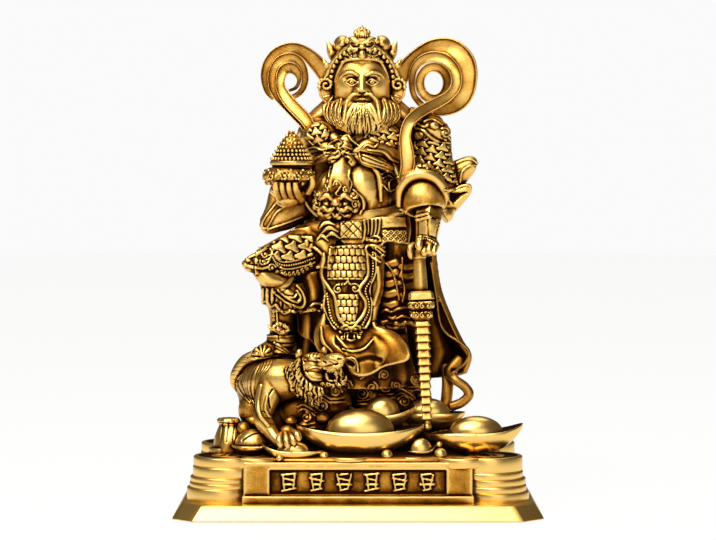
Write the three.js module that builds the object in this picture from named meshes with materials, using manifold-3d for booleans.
// A cast brass figure of a god of wealth, for a shelf or an altar: an armoured man with a beast
// crown and two curling ribbons stands over a tiger and a heap of boat ingots, holds up a bowl
// heaped with treasure and leans on a jointed whip. It stands on a stepped plinth with coin stacks.
// Millimetres, +Z up, front towards -Y. The origin is the centre of the plinth's underside.
import * as THREE from "three";
import { SimplifyModifier } from "three/addons/modifiers/SimplifyModifier.js";
import { mergeVertices } from "three/addons/utils/BufferGeometryUtils.js";
import Module from "manifold-3d";

const wasm = await Module();
wasm.setup();

// Driving dimensions of the plinth.
const PLINTH_HEIGHT = 44;
const SLAB_WIDTH = 288;
const SLAB_DEPTH = 190;
const SLAB_HEIGHT = 12;
const SLAB_SLOPE = 7;
const SLAB_CORNER = 17;
const SLAB_EDGE_HEIGHT = 1.5;
const SLAB_EDGE_INSET = 1;
const BLOCK_SEAT = 2;
const BLOCK_WIDTH = 177;
const BLOCK_DEPTH = 153;
const PANEL_WIDTH = 137;
const PANEL_HEIGHT = 19;
const PANEL_DEPTH = 1.6;
const PANEL_TOP_MARGIN = 5.6;
const STROKE_SEAT = 0.3;
const STACK_COIN_RADIUS = 27;
const STACK_MARGIN = 3;
const STACK_SEAT = 1;
const STACK_LEAN = 1.3;
const STACK_SWAY = 0.8;
const COIN_LAP = 0.4;
const TOP_COIN_RISE = 3;
const CORNER_COIN_DEPTH = 5;
const CORNER_COIN_INSET = 8;
const CORNER_COIN_Y = -52.5;
const CORNER_COIN_RADII = [24, 26];
const CORE_INSET = 22;

// The figure is drawn in parts of its own height, as a carver would square it up: 425 to the whole.
const FIGURE_HEIGHT = 340;
const canonParts = 425;
const share = FIGURE_HEIGHT / canonParts;
const CLEARANCE = 0.3;
const FIGURE_FACES = 7000;

const BRASS = new THREE.MeshStandardMaterial({ color: 0xc8952f, roughness: 0.35, metalness: 1 });
const DARK_BRASS = new THREE.MeshStandardMaterial({ color: 0xa87a2a, roughness: 0.4, metalness: 1 });
const PALE_BRASS = new THREE.MeshStandardMaterial({ color: 0xdcb25a, roughness: 0.3, metalness: 1 });

const vec = (p) => new THREE.Vector3(p[0], p[1], p[2]);
const lerp = (a, b, t) => a + (b - a) * t;

// A closed three.js geometry as a solid.
function solid(geometry, weld = 1e-4) {
  const bare = geometry.clone();
  for (const name of Object.keys(bare.attributes)) {
    if (name !== "position") bare.deleteAttribute(name);
  }
  const merged = mergeVertices(bare, weld);
  const made = new wasm.Manifold(
    new wasm.Mesh({
      numProp: 3,
      vertProperties: merged.attributes.position.array,
      triVerts: new Uint32Array(merged.index.array),
    }),
  );
  return made;
}

// A solid as a three.js geometry.
function geometryOf(manifold) {
  const mesh = manifold.getMesh();
  return new THREE.BufferGeometry()
    .setAttribute("position", new THREE.BufferAttribute(mesh.vertProperties, 3))
    .setIndex(new THREE.BufferAttribute(mesh.triVerts, 1));
}

function union(solids) {
  return solids.reduce((sum, one) => sum.add(one));
}

// Cast metal has no shut bubbles: only the outer skin of a joined body is kept.
function filled(manifold) {
  return union(manifold.decompose().filter((skin) => skin.volume() > 0));
}

// Melts the slivers that joining leaves, down to about the wanted number of flat faces.
async function melted(manifold, faces) {
  const welded = filled(solid(geometryOf(manifold), 0.02));
  const spare = Math.max(0, welded.numVert() - faces / 2);
  const geometry = await new SimplifyModifier().modify(geometryOf(welded), spare);
  return filled(solid(geometry));
}

// Joins equal rings of points into one closed skin, with a fan at each end.
function loft(rings) {
  const sides = rings[0].length;
  const points = rings.flat();
  const faces = [];
  for (let i = 0; i + 1 < rings.length; i++) {
    for (let j = 0; j < sides; j++) {
      const a = i * sides + j;
      const b = i * sides + ((j + 1) % sides);
      faces.push(a, b, b + sides, a, b + sides, a + sides);
    }
  }
  const ends = [
    [0, rings[0], -1],
    [(rings.length - 1) * sides, rings[rings.length - 1], 1],
  ];
  for (const [start, ring, turn] of ends) {
    const middle = new THREE.Vector3();
    ring.forEach((p) => middle.addScaledVector(p, 1 / sides));
    const centre = points.push(middle) - 1;
    for (let j = 0; j < sides; j++) {
      const a = start + j;
      const b = start + ((j + 1) % sides);
      faces.push(...(turn > 0 ? [a, b, centre] : [b, a, centre]));
    }
  }
  const flat = new Float32Array(points.flatMap((p) => [p.x, p.y, p.z]));
  const made = solid(
    new THREE.BufferGeometry().setAttribute("position", new THREE.BufferAttribute(flat, 3)).setIndex(faces),
  );
  return made.volume() < 0 ? loft([...rings].reverse()) : made;
}

// A smooth run through control rows of numbers, at t from 0 to 1.
function along(rows, t) {
  const place = t * (rows.length - 1);
  const i = Math.min(Math.floor(place), rows.length - 2);
  const f = place - i;
  const at = (k) => rows[Math.max(0, Math.min(rows.length - 1, k))];
  return rows[0].map((_, c) => {
    const [p0, p1, p2, p3] = [at(i - 1)[c], at(i)[c], at(i + 1)[c], at(i + 2)[c]];
    const bend = 2 * p0 - 5 * p1 + 4 * p2 - p3;
    const twist = 3 * p1 - p0 - 3 * p2 + p3;
    return 0.5 * (2 * p1 + (p2 - p0) * f + bend * f * f + twist * f * f * f);
  });
}

// A limb, strap or ribbon through rows of [x, y, z, half width, half thickness]. The width lies
// square to the path and to the face direction.
function sweep(rows, { sides = 6, steps = 6, face = [0, -1, 0], square = 1 } = {}) {
  const facing = vec(face).normalize();
  const rings = [];
  for (let i = 0; i <= steps; i++) {
    const t = i / steps;
    const [x, y, z, a, b] = along(rows, t);
    const before = along(rows, Math.max(0, t - 0.01));
    const after = along(rows, Math.min(1, t + 0.01));
    const tangent = vec(after).sub(vec(before)).normalize();
    const side = new THREE.Vector3().crossVectors(tangent, facing).normalize();
    const out = new THREE.Vector3().crossVectors(side, tangent).normalize();
    const ring = [];
    for (let j = 0; j < sides; j++) {
      const angle = (2 * Math.PI * (j + 0.5)) / sides;
      const c = Math.cos(angle);
      const s = Math.sin(angle);
      const u = Math.sign(c) * Math.abs(c) ** square;
      const v = Math.sign(s) * Math.abs(s) ** square;
      ring.push(new THREE.Vector3(x, y, z).addScaledVector(side, a * u).addScaledVector(out, b * v));
    }
    rings.push(ring);
  }
  return loft(rings);
}

// A body built up in level rings through rows of [z, centre x, centre y, half width, half depth].
// ripple(angle, t) gives each ring's swell, as a share of its size.
// square under 1 makes the rings squarer.
function column(rows, { sides = 16, steps = 8, square = 1, ripple = () => 0 } = {}) {
  const rings = [];
  for (let i = 0; i <= steps; i++) {
    const [z, x, y, a, b] = along(rows, i / steps);
    const ring = [];
    for (let j = 0; j < sides; j++) {
      const angle = (2 * Math.PI * j) / sides;
      const swell = 1 + ripple(angle, i / steps);
      const c = Math.cos(angle);
      const s = Math.sin(angle);
      const u = Math.sign(c) * Math.abs(c) ** square;
      const v = Math.sign(s) * Math.abs(s) ** square;
      ring.push(new THREE.Vector3(x + a * swell * u, y + b * swell * v, z));
    }
    rings.push(ring);
  }
  return loft(rings);
}

// An egg-shaped lump: centre, radii and turns in degrees about X, Y and Z.
function lump(centre, radii, turns = [0, 0, 0], detail = [8, 5]) {
  const sphere = new THREE.SphereGeometry(1, detail[0], detail[1]);
  sphere.rotateX(Math.PI / 2);
  sphere.scale(...radii);
  const [rx, ry, rz] = turns.map(THREE.MathUtils.degToRad);
  sphere.applyMatrix4(new THREE.Matrix4().makeRotationFromEuler(new THREE.Euler(rx, ry, rz, "ZYX")));
  sphere.translate(...centre);
  return solid(sphere);
}

// A sheet of cast drapery: place(u, v) gives the middle of the sheet, which is thickened both ways.
function drape(place, columns, rows, thickness) {
  const front = [];
  const back = [];
  const step = 0.01;
  for (let i = 0; i <= rows; i++) {
    front.push([]);
    back.push([]);
    for (let j = 0; j <= columns; j++) {
      const u = j / columns;
      const v = i / rows;
      const at = vec(place(u, v));
      const across = vec(place(Math.min(1, u + step), v)).sub(vec(place(Math.max(0, u - step), v)));
      const down = vec(place(u, Math.min(1, v + step))).sub(vec(place(u, Math.max(0, v - step))));
      const normal = new THREE.Vector3().crossVectors(across, down).normalize();
      front[i].push(at.clone().addScaledVector(normal, thickness / 2));
      back[i].push(at.clone().addScaledVector(normal, -thickness / 2));
    }
  }
  return loft(front.map((line, i) => [...line, ...back[i].reverse()]));
}

// A round disc or pearl-like turned form, from a profile of [radius, height].
function turned(profile, centre, sides) {
  const lathe = new THREE.LatheGeometry(
    profile.map(([r, z]) => new THREE.Vector2(r, z)),
    sides,
  );
  lathe.rotateX(Math.PI / 2);
  lathe.translate(...centre);
  return solid(lathe);
}

// A coin: a disc, and where its face shows a raised rim round a sunk middle.
function coin(centre, radius, thickness, { sides = 14, rimmed = false } = {}) {
  const profile = [
    [0, 0],
    [radius, 0],
    [radius, thickness],
  ];
  if (rimmed) {
    profile.push([radius * 0.88, thickness], [radius * 0.86, thickness * 0.85], [0, thickness * 0.85]);
  } else {
    profile.push([0, thickness]);
  }
  return turned(profile, centre, sides);
}

// A boat ingot: a hull that turns up at both ends and a dome amidships. The height is that of its
// tips. deck is the height of the rim amidships, dome the rise of the dome over that rim, as shares
// of the height; domeLength is a share of half the length. lift raises the right tip.
function ingot(centre, length, width, height, options = {}) {
  const { yaw = 0, steps = 6, deck = 0.62, dome = 0.75, domeLength = 0.54, lift = 0 } = options;
  const rings = [];
  for (let i = 0; i <= steps; i++) {
    const s = -1 + (2 * i) / steps;
    const reach = Math.abs(s);
    const half = (width / 2) * Math.max(0.1, Math.sqrt(1 - reach ** 2.4));
    const rise = lift * s * reach ** 2;
    const rim = height * lerp(deck, 1, reach ** 2) + rise;
    const keel = height * 0.84 * reach ** 2.6 + rise * reach;
    const ring = [];
    for (let j = 0; j <= 4; j++) {
      const angle = Math.PI * (j / 4);
      const depth = (rim - keel) * Math.sin(angle) ** 0.8;
      ring.push(new THREE.Vector3((s * length) / 2, half * Math.cos(angle), rim - depth));
    }
    ring.push(new THREE.Vector3((s * length) / 2, 0, rim - 0.06 * height * (1 - reach)));
    rings.push(ring);
  }
  const hull = loft(rings);
  const domeRadii = [(domeLength * length) / 2, width * 0.34, height * dome];
  return hull
    .add(lump([0, 0, height * deck], domeRadii, [0, 0, 0], [8, 5]))
    .rotate([0, 0, yaw])
    .translate(centre);
}

// The slab, the block with its sunk name panel, and the coin stacks at its four corners.
function makePlinth() {
  // The slab's outline at one height, drawn in from its edge, with its corners cut off.
  const octagon = (inset, z) => {
    const [halfWidth, halfDepth] = [SLAB_WIDTH / 2 - inset, SLAB_DEPTH / 2 - inset];
    const corners = [
      [1, -1, 0, 1],
      [1, 1, 0, -1],
      [1, 1, -1, 0],
      [-1, 1, 1, 0],
      [-1, 1, 0, -1],
      [-1, -1, 0, 1],
      [-1, -1, 1, 0],
      [1, -1, -1, 0],
    ];
    return corners.map(([sx, sy, cx, cy]) => {
      return new THREE.Vector3(sx * halfWidth + cx * SLAB_CORNER, sy * halfDepth + cy * SLAB_CORNER, z);
    });
  };
  const slab = loft([octagon(0, 0), octagon(SLAB_EDGE_INSET, SLAB_EDGE_HEIGHT), octagon(SLAB_SLOPE, SLAB_HEIGHT)]);
  const blockMiddle = (PLINTH_HEIGHT + SLAB_HEIGHT - BLOCK_SEAT) / 2;
  const block = new THREE.BoxGeometry(BLOCK_WIDTH, BLOCK_DEPTH, PLINTH_HEIGHT - SLAB_HEIGHT + BLOCK_SEAT);
  block.translate(0, 0, blockMiddle);
  const core = new THREE.BoxGeometry(
    SLAB_WIDTH - 2 * SLAB_SLOPE - 2 * CORE_INSET,
    BLOCK_DEPTH - 2 * CORE_INSET,
    PLINTH_HEIGHT - SLAB_HEIGHT,
  );
  core.translate(0, 0, blockMiddle);
  const panelMiddle = PLINTH_HEIGHT - PANEL_TOP_MARGIN - PANEL_HEIGHT / 2;
  const panel = new THREE.BoxGeometry(PANEL_WIDTH, 2 * PANEL_DEPTH, PANEL_HEIGHT);
  panel.translate(0, -BLOCK_DEPTH / 2, panelMiddle);
  const parts = [slab, solid(block).subtract(solid(panel)), solid(core), ...panelStrokes(panelMiddle)];

  for (const side of [-1, 1]) {
    for (const end of [-1, 1]) parts.push(...coinStack(side, end));
    // One coin of each front stack's top layer laps over the block's corner.
    const x = side * (BLOCK_WIDTH / 2 - CORNER_COIN_INSET);
    const radius = CORNER_COIN_RADII[side < 0 ? 0 : 1];
    const centre = [x, CORNER_COIN_Y, PLINTH_HEIGHT - CORNER_COIN_DEPTH];
    parts.push(coin(centre, radius, CORNER_COIN_DEPTH + TOP_COIN_RISE, { rimmed: true }));
  }
  return union(parts);
}

// The coins of one corner's stack, which leans in as it rises. The front ones show their faces.
function coinStack(side, end) {
  const stackX = SLAB_WIDTH / 2 - SLAB_SLOPE - STACK_COIN_RADIUS - STACK_MARGIN;
  const stackY = BLOCK_DEPTH / 2 - STACK_COIN_RADIUS;
  const height = PLINTH_HEIGHT - SLAB_HEIGHT + TOP_COIN_RISE + STACK_SEAT;
  const shares = side < 0 ? [0.34, 0.13, 0.13, 0.24, 0.22] : [0.24, 0.16, 0.16, 0.16, 0.34];
  const total = shares.reduce((sum, one) => sum + one);
  const coins = [];
  let z = SLAB_HEIGHT - STACK_SEAT;
  shares.forEach((one, i) => {
    const thickness = (height * one) / total;
    const sway = (i % 2) * STACK_SWAY;
    const centre = [side * (stackX - i * STACK_LEAN - sway), end * (stackY + sway), z - (i ? COIN_LAP : 0)];
    const rimmed = end < 0 && i === shares.length - 1;
    coins.push(coin(centre, STACK_COIN_RADIUS, thickness + COIN_LAP, { sides: end < 0 ? 16 : 12, rimmed }));
    z += thickness;
  });
  return coins;
}

// Six groups of plain raised bars in the sunk panel, where the casting has its inscription.
function panelStrokes(middle) {
  const groups = 6;
  const barsInGroup = 3;
  const pitch = PANEL_WIDTH / (groups + 0.4);
  const size = PANEL_HEIGHT * 0.5;
  const barHeight = size * 0.12;
  const barPitch = size * 0.42;
  const bars = [];
  for (let g = 0; g < groups; g++) {
    const x = (g - (groups - 1) / 2) * pitch;
    for (let k = 0; k < barsInGroup; k++) {
      const barLength = size * (0.95 - 0.2 * ((g + k) % 3));
      const slope = ((g * 5 + k * 7) % 5) * 0.12 - 0.24;
      const bar = new THREE.BoxGeometry(barLength, PANEL_DEPTH + 2 * STROKE_SEAT, barHeight);
      bar.rotateY(slope);
      bar.translate(x, -BLOCK_DEPTH / 2 + PANEL_DEPTH / 2, middle + (k - 1) * barPitch);
      bars.push(solid(bar));
    }
  }
  return bars;
}

// The heap that the group stands on: ground, rock, boat ingots, a sack, pearls and loose coins.
function makeHeap() {
  const ground = column(
    [
      [0, 0, -3, 110, 90],
      [3, 0, -3, 109, 89],
      [8, 0, -1, 102, 78],
    ],
    { sides: 24, steps: 2, square: 0.4 },
  );
  const rock = column(
    [
      [0, 12, 18, 70, 50],
      [35, 8, 14, 66, 44],
      [62, 8, 10, 58, 38],
      [92, 12, 8, 40, 30],
    ],
    { sides: 8, steps: 3, ripple: (a, t) => 0.07 * Math.sin(5 * a + 4 * t) + 0.04 * Math.sin(9 * a - 7 * t) },
  );
  // A sack tied below its frill, from its foot up.
  const sack = [
    [0, 0],
    [13, 0],
    [16, 6],
    [15, 18],
    [9, 28],
    [6, 31],
    [8, 35],
    [0, 37],
  ];
  const parts = [
    ground,
    rock,
    ingot([2, -64, 3.6], 125, 52, 29.5, { steps: 8, deck: 0.78 }),
    ingot([116, -52, 4.2], 92, 46, 23.5, { yaw: 2, deck: 0.88, dome: 0.66, domeLength: 0.58, lift: 5.5 }),
    ingot([70, -12, 24], 74, 36, 17, { yaw: -4, deck: 0.95, dome: 0.84, domeLength: 0.6 }),
    ingot([24, -38, 26], 66, 34, 24, { yaw: 4 }),
    ingot([-63, -79, 0.4], 60, 26, 12.5, { yaw: -3, steps: 4, deck: 0.7, dome: 0.78, lift: -3.1 }),
    ingot([61.6, -76, 4.5], 29, 18, 7.5, { yaw: 8, steps: 4, deck: 0.6, dome: 1.6, domeLength: 0.75, lift: 3 }),
    ingot([-103, -56, 5], 40, 34, 8.5, { deck: 0.9, dome: 1.9, domeLength: 0.9, lift: 1 }),
    ingot([60, 52, 3.2], 84, 42, 26, { yaw: 172, steps: 4, deck: 0.75 }),
    ingot([-40, 54, 3.2], 80, 40, 25, { yaw: 8, steps: 4, deck: 0.75 }),
    turned(sack, [-127, -34, 0.5], 10),
    lump([-113, -36, 8], [23, 17, 10], [0, 0, 0], [8, 6]),
    lump([-70, -6, 40], [30, 26, 38], [0, 0, 0], [8, 6]),
    lump([-84, -10, 94], [18, 14, 10]),
    lump([-104, -12, 18], [18, 18, 20], [0, 0, 0], [6, 4]),
    lump([96, 22, 12], [26, 24, 20]),
  ];
  const pearls = [
    [28, -84, 6],
    [80, -80, 6.5],
    [-33, -85, 5],
    [-76, -90, 3.6],
  ];
  pearls.forEach(([x, y, r]) => parts.push(lump([x, y, r * 0.85], [r, r, r], [0, 0, 0], [6, 4])));
  parts.push(coin([-8, -72, 0], 26, 4));
  parts.push(coin([52, -66, 0], 26, 4));
  parts.push(coin([-130, -34, 0], 18, 8));
  return parts;
}

// The tiger under the raised foot, its head turned out and up to the right.
function makeTiger() {
  const parts = [
    sweep(
      [
        [-94, 30, 62, 20, 20],
        [-98, 6, 66, 25, 28],
        [-90, -16, 68, 26, 26],
        [-82, -40, 74, 21, 22],
        [-60, -50, 78, 17, 18],
      ],
      { sides: 8, steps: 6, face: [0, 0, 1] },
    ),
    sweep(
      [
        [-84, -46, 72, 15, 14],
        [-91, -54, 46, 8.5, 11],
        [-90, -60, 34, 7.5, 9],
        [-80, -70, 20, 7, 7],
        [-70, -76, 14, 8, 6],
      ],
      { sides: 6, steps: 4 },
    ),
    lump([-68, -78, 12], [11, 8, 6], [0, 0, 0], [6, 4]),
    sweep(
      [
        [-58, -40, 62, 14, 14],
        [-52, -50, 38, 9, 10],
        [-48, -54, 14, 8, 8],
      ],
      { sides: 6, steps: 3 },
    ),
    sweep(
      [
        [-98, 8, 56, 22, 22],
        [-98, -4, 40, 20, 20],
        [-94, -12, 22, 14, 14],
      ],
      { sides: 6, steps: 3 },
    ),
    sweep(
      [
        [-104, 16, 56, 5, 5],
        [-119, 4, 64, 6, 6],
        [-122, -4, 76, 6, 7],
        [-112, -10, 91, 7, 6],
        [-96, -16, 97, 8, 5],
      ],
      { sides: 5, steps: 6 },
    ),
  ];
  // Skull, cheek, muzzle and nose, open lower jaw, ears, then the ruff of the cheeks.
  parts.push(lump([-47, -58, 86], [16, 14, 15], [0, -10, 0]));
  parts.push(lump([-42, -67, 79], [11, 9, 9], [0, 14, 0], [8, 5]));
  parts.push(lump([-28, -71, 93], [15, 10, 8], [0, -12, 0], [8, 5]));
  parts.push(lump([-16, -77, 96], [5, 6, 5], [0, -12, 0], [6, 4]));
  parts.push(lump([-28, -66, 75], [16, 7, 5], [0, 4, 0], [6, 4]));
  parts.push(lump([-55, -59, 98], [4, 5, 8], [0, 14, 0], [5, 4]));
  parts.push(lump([-38, -56, 99], [4, 5, 7], [0, 0, 0], [5, 4]));
  const tufts = 5;
  for (let i = 0; i < tufts; i++) {
    const t = i / (tufts - 1);
    const x = lerp(-62, -38, t);
    const z = lerp(82, 70, t) - 6 * Math.sin(Math.PI * t);
    parts.push(
      sweep(
        [
          [x + 6, -58 - 4 * Math.sin(Math.PI * t), z + 9, 5.4, 5],
          [x, -64 - 7 * Math.sin(Math.PI * t), z, 4, 4],
          [x - 5 + 4 * t, -66 - 7 * Math.sin(Math.PI * t), z - 9, 0.8, 0.8],
        ],
        { sides: 4, steps: 2 },
      ),
    );
  }
  return parts;
}

// Torso, belly plates, belt, hips and the long robe.
function makeTrunk() {
  const torso = column(
    [
      [196, -6, 0, 47, 34],
      [222, -6, -1, 46, 34],
      [246, -4, -1, 43, 33],
      [266, -3, -3, 44, 36],
      [288, -2, -2, 45, 33],
      [306, 2, 0, 52, 31],
      [322, 6, 1, 54, 27],
      [335, 6, 2, 42, 22],
      [346, 5, 0, 24, 18],
      [356, 4, -4, 20, 18],
    ],
    { sides: 12, steps: 8 },
  );
  const robe = column(
    [
      [66, 6, -6, 48, 46],
      [80, 8, -6, 49, 46],
      [110, 4, -4, 45, 42],
      [140, 2, -2, 44, 40],
      [170, -2, 0, 46, 38],
      [200, -6, 0, 47, 36],
      [216, -6, 0, 42, 30],
    ],
    { sides: 16, steps: 4, ripple: (a, t) => 0.08 * (1 - t) * Math.sin(4 * a + 1.2) },
  );
  const parts = [
    torso,
    robe,
    lump([-8, -25, 265], [33, 20, 27], [0, 0, 0], [12, 8]),
    lump([-19, -44, 248], [23, 9, 15], [0, 0, 0], [8, 6]),
  ];
  parts.push(
    sweep(
      [
        [-15, -40, 293, 7, 3],
        [-18, -48, 274, 10, 3],
        [-19.5, -50, 258, 12, 3],
      ],
      { sides: 8, steps: 4, square: 0.6 },
    ),
  );
  // Belt round the waist, lower on the raised leg's side.
  const belt = [];
  const beltStops = 10;
  for (let i = 0; i < beltStops; i++) {
    const a = (2 * Math.PI * i) / beltStops;
    belt.push([-3 + 45 * Math.cos(a), -2 + 37 * Math.sin(a), 237 + 6 * Math.cos(a) + 2 * Math.sin(a)]);
  }
  parts.push(ringBand(belt, 6.5, 3.8));
  // Scarf knotted high on the chest.
  const scarf = [
    [
      [-44, -18, 300, 5, 4],
      [-28, -32, 300, 9, 5],
      [-14, -39, 303, 4, 5],
    ],
    [
      [48, -18, 292, 7, 4],
      [26, -34, 300, 11, 5],
      [-8, -39, 303, 4, 5],
    ],
    [
      [-14, -40, 303, 4, 3],
      [-24, -42, 294, 5, 3],
      [-34, -38, 290, 5, 2.5],
    ],
    [
      [-8, -40, 303, 4, 3],
      [10, -42, 294, 5, 3],
      [30, -36, 286, 4, 2.5],
    ],
  ];
  scarf.forEach((rows) => parts.push(sweep(rows, { sides: 5, steps: 3 })));
  parts.push(lump([-12, -41, 306], [8, 5, 6], [0, 0, 0], [6, 4]));
  return parts;
}

// A closed strap round the body, through level points, upright and of even thickness.
function ringBand(points, halfHeight, halfThickness) {
  const faces = [];
  const all = [];
  const count = points.length;
  const middle = new THREE.Vector3();
  points.forEach((p) => middle.addScaledVector(vec(p), 1 / count));
  for (let i = 0; i < count; i++) {
    const p = vec(points[i]);
    const out = p.clone().sub(middle).setZ(0).normalize();
    for (const [o, h] of [
      [1, -0.7],
      [1, 0.7],
      [-1, 1],
      [-1, -1],
    ]) {
      all.push(p.clone().addScaledVector(out, o * halfThickness).setZ(p.z + h * halfHeight));
    }
  }
  for (let i = 0; i < count; i++) {
    for (let j = 0; j < 4; j++) {
      const a = i * 4 + j;
      const b = i * 4 + ((j + 1) % 4);
      const c = ((i + 1) % count) * 4 + j;
      const d = ((i + 1) % count) * 4 + ((j + 1) % 4);
      faces.push(a, c, d, a, d, b);
    }
  }
  const flat = new Float32Array(all.flatMap((p) => [p.x, p.y, p.z]));
  return solid(
    new THREE.BufferGeometry().setAttribute("position", new THREE.BufferAttribute(flat, 3)).setIndex(faces),
  );
}

// The armoured skirts and the drapery in front: tabard, hip sash, thigh plate, side panel.
function makeSkirts() {
  const parts = [];
  // Long tabard with a waisted outline and a beast at its foot.
  const tabardHalf = (v) => 24 + 5 * Math.cos(2 * Math.PI * v * 1.05) - 12 * Math.max(0, v - 0.8) * 4;
  parts.push(
    drape(
      (u, v) => {
        const s = 2 * u - 1;
        const half = tabardHalf(v);
        return [-6 + s * half, -47 - 4 * v + 7 * s * s, lerp(214, 112, v)];
      },
      2,
      5,
      6,
    ),
  );
  parts.push(lump([-5, -54, 118], [15, 7, 8], [0, 0, 0], [6, 4]));
  // Robe flaps that swing out below the tabard.
  parts.push(
    drape(
      (u, v) => {
        const s = lerp(-0.6, 1, u);
        const bow = Math.sin(3.2 * u * Math.PI);
        return [
          lerp(-30, 42, u) + s * 18 * v,
          -44 - 6 * v - 7 * bow * v,
          lerp(150, 74 + 22 * Math.abs(u - 0.55), v),
        ];
      },
      6,
      3,
      6,
    ),
  );
  // Hip sash, falling in folds over the raised thigh.
  parts.push(
    sweep(
      [
        [7, -37, 226.5, 5, 5],
        [-20, -44, 222, 10, 6],
        [-44, -36, 216, 15, 8],
        [-58, -20, 206, 12, 10],
      ],
      { sides: 6, steps: 4 },
    ),
  );
  parts.push(
    sweep(
      [
        [-46, -42, 222, 6, 4],
        [-38, -48, 206, 8, 4],
        [-34, -48, 192, 6, 4],
      ],
      { sides: 6, steps: 4 },
    ),
  );
  parts.push(
    drape(
      (u, v) => {
        const hem = 206 + 6 * Math.sin(3 * Math.PI * u);
        return [lerp(-4, 46, u), -42.6 + 10 * u * u - 3 * v, lerp(231, hem, v)];
      },
      6,
      2,
      5,
    ),
  );
  // Side skirt panel of overlapping plates on the standing leg.
  const plates = 4;
  parts.push(
    drape(
      (u, v) => {
        const row = v * plates;
        const step = row - Math.floor(row * 0.9999);
        return [lerp(20, 58, u), -41 + 12 * (2 * u - 1) ** 2 - 2 * v - 3 * step, lerp(214, 128, v)];
      },
      2,
      plates * 2,
      5,
    ),
  );
  parts.push(lump([40, -46, 136], [18, 8, 9], [0, 0, 0], [6, 4]));
  return parts;
}

// The raised leg, with its thigh plate, beast knee, gathered trouser and boot on the tiger.
function makeLeg() {
  const parts = [
    sweep(
      [
        [-18, -4, 206, 28, 26],
        [-52, -24, 200, 25, 22],
        [-84, -42, 186, 18, 18],
      ],
      { sides: 10, steps: 5, face: [0, 0, 1] },
    ),
    sweep(
      [
        [-86, -42, 186, 15, 16],
        [-76, -36, 164, 22, 20],
        [-69, -28, 140, 22, 17],
        [-78, -22, 128, 12, 12],
        [-79, -20, 112, 11, 12],
        [-80, -20, 101, 13, 15],
      ],
      { sides: 8, steps: 7 },
    ),
    sweep(
      [
        [-66, -8, 106, 9, 8],
        [-82, -20, 106, 11, 9],
        [-96, -30, 102, 10, 6],
        [-103, -36, 100, 5, 4],
      ],
      { sides: 8, steps: 5, face: [0, 0, 1] },
    ),
    lump([-100, -52, 187], [16, 13, 11], [0, -20, 20], [8, 6]),
  ];
  // Thigh plate: a saddle of scale armour with a fringed lower edge.
  parts.push(
    drape(
      (u, v) => {
        const a = lerp(-0.5, 1.15, u) * Math.PI * 0.5;
        const spread = lerp(31, 22, v);
        const [x, y, z] = [lerp(-36, -94, v), lerp(-16, -46, v), lerp(212, 188, v)];
        return [
          x - 0.35 * spread * Math.sin(a),
          y - spread * 0.9 * Math.sin(a),
          z + spread * 0.9 * Math.cos(a) - 4,
        ];
      },
      6,
      3,
      5,
    ),
  );
  // Trouser folds gathered above the boot.
  for (let i = 0; i < 2; i++) {
    parts.push(
      sweep(
        [
          [-92 + 3 * i, -50 + 3 * i, 168 - 4 * i, 3, 3],
          [-78 + 4 * i, -54 + 2 * i, 154 - 7 * i, 3.5, 3.5],
          [-60 + 3 * i, -43, 148.5 - 8 * i, 3.2, 3.2],
        ],
        { sides: 4, steps: 3 },
      ),
    );
  }
  return parts;
}

// The arm that holds up the treasure bowl, with its hanging sleeve.
function makeBowlArm() {
  return [
    sweep(
      [
        [-34, 0, 328, 18, 19],
        [-46, 2, 308, 18, 20],
        [-52, 4, 280, 17, 19],
        [-54, -2, 258, 15, 15],
      ],
      { sides: 10, steps: 5 },
    ),
    sweep(
      [
        [-56, 6, 264, 15, 16],
        [-60, -18, 258, 13, 13],
        [-66, -38, 262, 10, 9],
        [-69, -50, 266, 12, 6],
      ],
      { sides: 8, steps: 5, face: [0, 0, 1] },
    ),
    // Sleeve, hanging open below the forearm.
    sweep(
      [
        [-60, -12, 266, 15, 26],
        [-67, -18, 251, 15, 26],
        [-77, -24, 237, 12, 20],
        [-88, -28, 226, 8, 12],
        [-95, -28, 221, 3, 5],
      ],
      { sides: 8, steps: 6, face: [0.6, 0, -0.8] },
    ),
    turned(
      [
        [0, 0],
        [10, 0],
        [20, 4],
        [25, 10],
        [24.5, 17],
        [18, 20],
        [20, 21],
        [21, 23],
        [20, 26],
        [0, 26],
      ],
      [-69, -52, 264],
      16,
    ),
    turned(
      [
        [0, 0],
        [20, 0],
        [19, 5],
        [13, 17],
        [8, 26],
        [4, 32],
        [0, 33],
      ],
      [-69, -52, 289],
      14,
    ),
  ];
}

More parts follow.
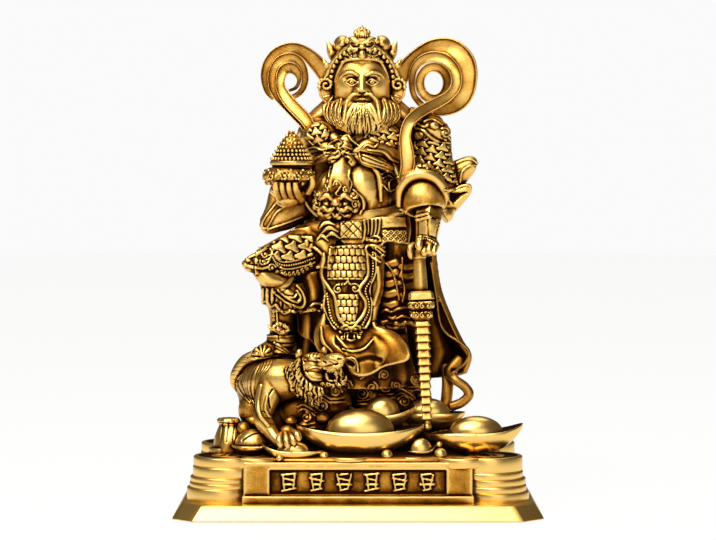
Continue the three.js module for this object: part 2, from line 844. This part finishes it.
// The arm that leans on the whip: pauldron, mail, bell cuff, bracer and fist.
function makeWhipArm() {
  return [
    sweep(
      [
        [46, 0, 330, 17, 17],
        [70, 2, 318, 20, 22],
        [74, 4, 296, 20, 22],
        [77, 2, 268, 20, 20],
        [76, -6, 250, 17, 16],
      ],
      { sides: 8, steps: 6 },
    ),
    lump([73, -5, 322], [20, 21, 13], [0, 22, 0], [10, 7]),
    // Bell cuff with its rolled rim.
    sweep(
      [
        [70, -20, 274, 18, 12],
        [67, -30, 266, 25, 18],
        [66, -38, 250, 26, 18],
        [68, -44, 238, 20, 13],
      ],
      { sides: 10, steps: 4 },
    ),
    sweep(
      [
        [41, -34, 240, 3, 4],
        [43, -40, 258, 4, 5],
        [54, -42, 272, 5, 5],
        [68, -42, 276, 5, 5],
        [82, -40, 270, 5, 5],
        [91, -36, 254, 4, 5],
        [91, -32, 238, 3, 4],
      ],
      { sides: 5, steps: 8 },
    ),
    sweep(
      [
        [70, -42, 246, 14, 12],
        [69, -48, 228, 13, 12],
        [68, -51, 213, 10, 10],
      ],
      { sides: 6, steps: 3 },
    ),
    lump([64, -51, 207], [14, 11, 10], [0, 0, 0], [8, 6]),
    // Two trumpet ends of the sleeve behind the elbow.
    sweep(
      [
        [84, 8, 264, 16, 10],
        [102, 10, 278, 13, 9],
        [119, 8, 287, 5, 6],
      ],
      { sides: 6, steps: 3 },
    ),
    sweep(
      [
        [84, 4, 244, 14, 10],
        [97, 6, 254, 12, 8],
        [111, 4, 263, 5, 6],
      ],
      { sides: 6, steps: 3 },
    ),
  ];
}

// Head, beard and the beast crown with its ear flaps.
function makeHead() {
  const parts = [
    lump([4, -14, 366], [25, 25, 33], [0, 0, 0], [12, 9]),
    lump([4, -5, 367], [36, 24, 34], [0, 0, 0], [13, 9]),
    lump([-36, 4, 332], [16, 14, 11]),
    lump([44, 4, 334], [15, 14, 11]),
    lump([4, -39, 361], [4.5, 6, 8], [0, 0, 0], [6, 4]),
    // Crown: cap, brow band, beast and finial.
    lump([4, -11, 392], [30, 28, 26], [0, 0, 0], [10, 8]),
    lump([-11, -6, 406], [14, 16, 11], [0, 0, 0], [8, 6]),
    lump([19, -6, 406], [14, 16, 11], [0, 0, 0], [8, 6]),
    lump([4, -32, 404], [14, 9, 7], [0, 0, 0], [8, 5]),
    lump([4, -26, 415], [9, 6, 9], [0, 0, 0], [6, 4]),
  ];
  const browBand = [
    [-29, -20, 366, 4, 4],
    [-22, -34, 384, 5, 4],
    [4, -40, 392, 6, 4],
    [30, -34, 384, 5, 4],
    [37, -20, 366, 4, 4],
  ];
  parts.push(sweep(browBand, { sides: 5, steps: 8 }));
  for (const side of [-1, 1]) {
    const x = (distance) => 4 + side * distance;
    parts.push(
      sweep(
        [
          [x(20), -33, 402, 4, 5],
          [x(31), -23, 386, 5, 5],
          [x(36), -16, 368, 7, 5],
          [x(35), -16, 354, 8, 5],
          [x(27), -18, 344, 3, 3],
        ],
        { sides: 6, steps: 7 },
      ),
    );
    parts.push(lump([x(36), -21, 363], [8, 6, 8], [0, 0, 0], [7, 5]));
    parts.push(
      sweep(
        [
          [x(24), -14, 398, 8, 5],
          [x(32), -14, 406, 5, 3],
          [x(34), -14, 411, 0.7, 0.7],
        ],
        { sides: 4, steps: 2 },
      ),
    );
  }
  // Beard: a fan of locks over a core.
  parts.push(
    sweep(
      [
        [4, -26, 346, 26, 13],
        [4, -32, 334, 31, 12],
        [4, -36, 322, 25, 9],
        [4, -38, 312, 13, 5],
      ],
      { sides: 10, steps: 4 },
    ),
  );
  const locks = 5;
  for (let i = 0; i < locks; i++) {
    const s = -1 + (2 * i) / (locks - 1);
    const out = 1 - Math.abs(s);
    parts.push(
      sweep(
        [
          [4 + 24 * s, -32 - 9 * out, 344, 3, 3],
          [4 + 31 * s, -33 - 13 * out, 330, 3.6, 3],
          [4 + 25 * s, -35 - 10 * out, 314 + 5 * Math.abs(s), 1.2, 1.2],
        ],
        { sides: 4, steps: 3 },
      ),
    );
  }
  return parts;
}

// The two curling ribbons that rise from behind the neck and fall over the chest.
function makeRibbons() {
  const wide = { sides: 6, square: 0.8 };
  const rows = [
    // Smaller curl over the bowl arm: outer band, its inner turn, then the tail.
    [
      [-22, 16, 352, 6, 5],
      [-38, 15, 376, 8, 5],
      [-52, 12, 393, 9, 5],
      [-70, 8, 400, 9, 6],
      [-85, 4, 390, 9, 6],
      [-89, 0, 372, 9.5, 6],
      [-79, -5, 353, 10, 6],
      [-63, -11, 337, 9.5, 5],
      [-50, -18, 324, 8, 4.5],
      [-47, -25, 308, 6, 4],
      [-47, -28, 296, 3, 3],
    ],
    [
      [-52, 14, 384, 8, 4],
      [-51, 14, 368, 6, 5],
      [-58, 12, 355, 7, 5],
      [-68, 9, 353, 6, 5],
      [-79, 6, 364, 6, 5],
      [-80, 5, 378, 7, 5],
      [-70, 4, 390, 9, 5],
      [-56, 4, 385, 8, 4],
    ],
    // Larger curl over the whip arm.
    [
      [28, 16, 350, 6, 5],
      [42, 16, 376, 8, 5],
      [54, 14, 396, 9, 5],
      [78, 10, 404, 9, 7],
      [101, 6, 394, 10, 8],
      [109, 2, 371, 10, 8],
      [101, 2, 349, 10, 7],
      [80, 4, 342, 8, 6],
      [64, 8, 352, 8, 5],
      [60, 11, 372, 8, 5],
      [64, 12, 390, 8, 5],
    ],
    [
      [66, 10, 390, 9, 5],
      [61, 11, 370, 8, 5],
      [66, 10, 352, 8, 5],
      [80, 8, 346, 7, 5],
      [94, 6, 358, 9, 6],
      [96, 5, 378, 10, 6],
      [80, 6, 393, 10, 6],
      [66, 8, 388, 8, 5],
    ],
    [
      [100, -6, 372, 7, 5],
      [92, -10, 358, 7, 5],
      [76, -16, 348, 6.5, 5],
      [60, -24, 338, 5, 4.5],
      [48, -32, 328, 4.5, 4],
      [48, -36, 312, 6, 4],
      [50, -38, 294, 7.5, 4],
      [48, -40, 278, 7, 4],
      [44, -42, 268, 4, 3],
    ],
  ];
  return rows.map((path, i) => sweep(path, { ...wide, steps: i % 2 ? 12 : 18 }));
}

// The cape down the back, its flying corner and the curl of its tie.
function makeCape() {
  // The right edge, as shares down the cape: narrow under the arm, then swinging far out.
  const rightEdge = [
    [46, 334],
    [56, 290],
    [70, 240],
    [76, 200],
    [82, 162],
    [93, 133],
    [104, 110],
    [113, 95],
    [108, 78],
  ];
  const cape = drape(
    (u, v) => {
      const s = 2 * u - 1;
      const fold = Math.sin(7 * Math.PI * u) * v;
      const [edge, low] = along(rightEdge, v);
      const left = lerp(46, 86, v ** 1.1);
      const hem = lerp(334, 62 + 6 * Math.cos(7 * Math.PI * u), v);
      const share = Math.max(0, s) ** 2;
      return [
        s > 0 ? lerp(4, edge, s) : lerp(4, -left, -s),
        lerp(24, 36, v) - 30 * s * s * lerp(0.6, 1, v) + 5 * fold,
        lerp(hem, low, share),
      ];
    },
    20,
    10,
    6,
  );
  const tie = sweep(
    [
      [104, 11, 92, 7, 4],
      [93, 4, 80, 6, 3.5],
      [96, -4, 73, 5, 3],
      [106, -6, 66, 5, 3],
      [111, -8, 58, 5, 3],
      [104, -8, 50, 5, 3],
      [92, -6, 45, 5, 4],
    ],
    { sides: 6, steps: 14, face: [0, -1, 0.2] },
  );
  const strut = sweep(
    [
      [90, 15, 86, 7, 4],
      [90, 6, 64, 6, 4],
      [86, 0, 28, 6, 4],
    ],
    { sides: 6, steps: 4 },
  );
  return [cape, tie, strut];
}

// The jointed whip: pommel and grip in the fist, guard, stacked square joints and a point.
const WHIP_TOP = [59.5, -52, 205];
const WHIP_TIP = [68, -58, 27];
function makeWhip(grow = 0) {
  const start = vec(WHIP_TOP);
  const axis = vec(WHIP_TIP).sub(start);
  const length = axis.length();
  const joints = 13;
  const jointTop = 0.37;
  const jointFoot = 0.97;
  const jointFill = 0.8;
  const place = (i) => lerp(jointTop, jointFoot, i / joints) * length;
  const profile = [
    [0, 0],
    [6, 1],
    [6, 0.06 * length],
    [6.6, 0.07 * length],
    [6.6, 0.235 * length],
    [12, 0.26 * length],
    [12.5, 0.29 * length],
    [11, 0.32 * length],
    [7, 0.36 * length],
  ];
  for (let i = 0; i < joints; i++) {
    const size = lerp(7.4, 3.4, i / joints);
    profile.push([size - 1.4, place(i)], [size + 0.6, place(i + jointFill)]);
  }
  profile.push([0, length]);
  const grown = profile.map(([r, z], i) => new THREE.Vector2(i && i < profile.length - 1 ? r + grow : 0, z));
  grown[0].y -= grow;
  grown[grown.length - 1].y += grow;
  const lathe = new THREE.LatheGeometry(grown, 6);
  lathe.rotateX(Math.PI);
  lathe.rotateX(Math.PI / 2);
  lathe.rotateZ(Math.PI / 6);
  const downwards = new THREE.Vector3(0, 0, -1);
  lathe.applyQuaternion(new THREE.Quaternion().setFromUnitVectors(downwards, axis.clone().normalize()));
  lathe.translate(...WHIP_TOP);
  return solid(lathe);
}

const plinthSolid = filled(makePlinth());
const toRow = (one) => one.scale(share).translate([0, 0, PLINTH_HEIGHT + CLEARANCE]);
const whipSolid = toRow(makeWhip());
const joined = union([
  ...makeHeap(),
  ...makeTiger(),
  ...makeTrunk(),
  ...makeSkirts(),
  ...makeLeg(),
  ...makeBowlArm(),
  ...makeWhipArm(),
  ...makeHead(),
  ...makeRibbons(),
  ...makeCape(),
]);
const group = await melted(filled(joined), FIGURE_FACES);
const figureSolid = toRow(group.subtract(makeWhip(CLEARANCE / share)))
  .subtract(plinthSolid)
  .subtract(plinthSolid.translate([0, 0, CLEARANCE]));

const named = (name, made, material) => {
  const mesh = new THREE.Mesh(geometryOf(made), material);
  mesh.name = name;
  return mesh;
};

const work = new THREE.Group();
work.add(named("plinth", plinthSolid, BRASS));
work.add(named("figure", figureSolid, PALE_BRASS));
work.add(named("whip", whipSolid, DARK_BRASS));

export default work;
